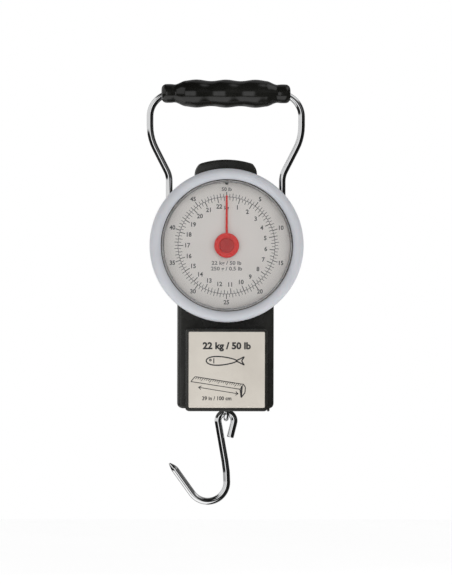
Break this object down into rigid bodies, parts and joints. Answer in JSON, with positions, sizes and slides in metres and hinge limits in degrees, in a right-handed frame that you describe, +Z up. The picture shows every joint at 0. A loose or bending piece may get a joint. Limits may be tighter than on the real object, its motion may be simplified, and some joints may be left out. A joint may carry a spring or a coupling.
{
  "type": "hanging fish scale",
  "caption": "Hand-held spring scale with a wire handle and finger grip, round dial with a turning ring, pull-out tape measure and load hook.",
  "frame": {"origin": "middle of the grip, in the plane of the handle wire, where the scale is held or hung", "axes": "+X to the right and +Y to the back as one reads the dial, +Z up; the scale hangs down along -Z"},
  "size_m": [0.095, 0.029, 0.2552],
  "materials": {
    "chrome": "bright plating",
    "grip_black": "satin moulded grip",
    "spring_steel": "drawn, oiled",
    "housing_black": "satin moulded",
    "zinc_steel": "zinc plated",
    "screw_steel": "zinc plated",
    "brass": "machined",
    "nylon": "natural",
    "label_cream": "printed, satin",
    "pointer_red": "glossy",
    "hub_red": "glossy",
    "ring_grey": "satin moulded",
    "dial_face": "printed, matt",
    "key_grey": "moulded",
    "tape_blade": "printed steel tape",
    "tab_black": "black plated",
    "spool_grey": "moulded",
    "lens_clear": "clear, glossy"
  },
  "bodies": {
    "handle": {"handle_wire": "chrome", "grip_front": "grip_black", "grip_rear": "grip_black", "handle_clips": "spring_steel"},
    "housing": {"rear_housing": "housing_black", "front_housing": "housing_black", "chassis": "zinc_steel", "chassis_screws": "screw_steel", "spring_anchor_rod": "screw_steel", "main_spring_left": "spring_steel", "main_spring_right": "spring_steel", "movement_bridge": "brass", "spacer_posts": "brass", "rack_guide_pins": "screw_steel", "rear_arbor_bush": "brass", "front_arbor_bush": "brass", "rod_guide": "nylon", "housing_screws": "screw_steel", "tape_case_back": "housing_black", "tape_case_front": "housing_black", "tape_case_screws": "screw_steel", "tape_axle": "screw_steel", "label_plate": "label_cream"},
    "carriage": {"yoke": "zinc_steel", "load_rod": "chrome", "lock_nut": "screw_steel", "rack": "brass", "rack_rivets": "screw_steel"},
    "pointer": {"pointer_arbor": "screw_steel", "pinion": "brass", "pointer_hand": "pointer_red", "hub_cap": "hub_red"},
    "hook": {"hook": "chrome"},
    "tare_ring": {"dial_ring": "ring_grey", "dial_lens": "lens_clear", "dial_plate": "dial_face", "dial_key": "key_grey"},
    "tape_end": {"tape_blade": "tape_blade", "tape_tab": "tab_black", "tab_rivets": "screw_steel"},
    "tape_reel": {"tape_spool": "spool_grey", "wound_tape": "tape_blade", "tape_return_spring": "spring_steel"}
  },
  "joints": [
    {"name": "handle_fold", "type": "hinge", "parent": "handle", "child": "housing", "pos_m": [0, 0, -0.0773], "axis": [1, 0, 0], "range_deg": [-3, 165]},
    {"name": "load_slide", "type": "slide", "parent": "housing", "child": "carriage", "axis": [0, 0, -1], "range_m": [0, 0.022], "stiffness_N_per_m": 10120, "deforming": ["main_spring_left", "main_spring_right"]},
    {"name": "pointer_spin", "type": "hinge", "parent": "housing", "child": "pointer", "pos_m": [0, 0, -0.0913], "axis": [0, 1, 0], "range_deg": [0, 361]},
    {"name": "hook_swing", "type": "hinge", "parent": "carriage", "child": "hook", "pos_m": [0.0005, 0, -0.19635], "axis": [0, 1, 0], "range_deg": [-45, 45]},
    {"name": "tare_ring_turn", "type": "hinge", "parent": "housing", "child": "tare_ring", "pos_m": [0, 0, -0.0913], "axis": [0, 1, 0], "continuous": true},
    {"name": "tape_pull", "type": "slide", "parent": "housing", "child": "tape_end", "axis": [1, 0, 0], "range_m": [0, 1], "stiffness_N_per_m": 0.5, "springref_m": -1, "deforming": ["tape_blade"]},
    {"name": "tape_reel_spin", "type": "hinge", "parent": "housing", "child": "tape_reel", "pos_m": [0, 0, -0.1683], "axis": [0, 1, 0], "range_deg": [-3210, 0]}
  ],
  "couplings": [
    {"joint": "pointer_spin", "follows": "load_slide", "rad_per_m": 285.71},
    {"joint": "tape_reel_spin", "follows": "tape_pull", "rad_per_m": -55.9}
  ]
}
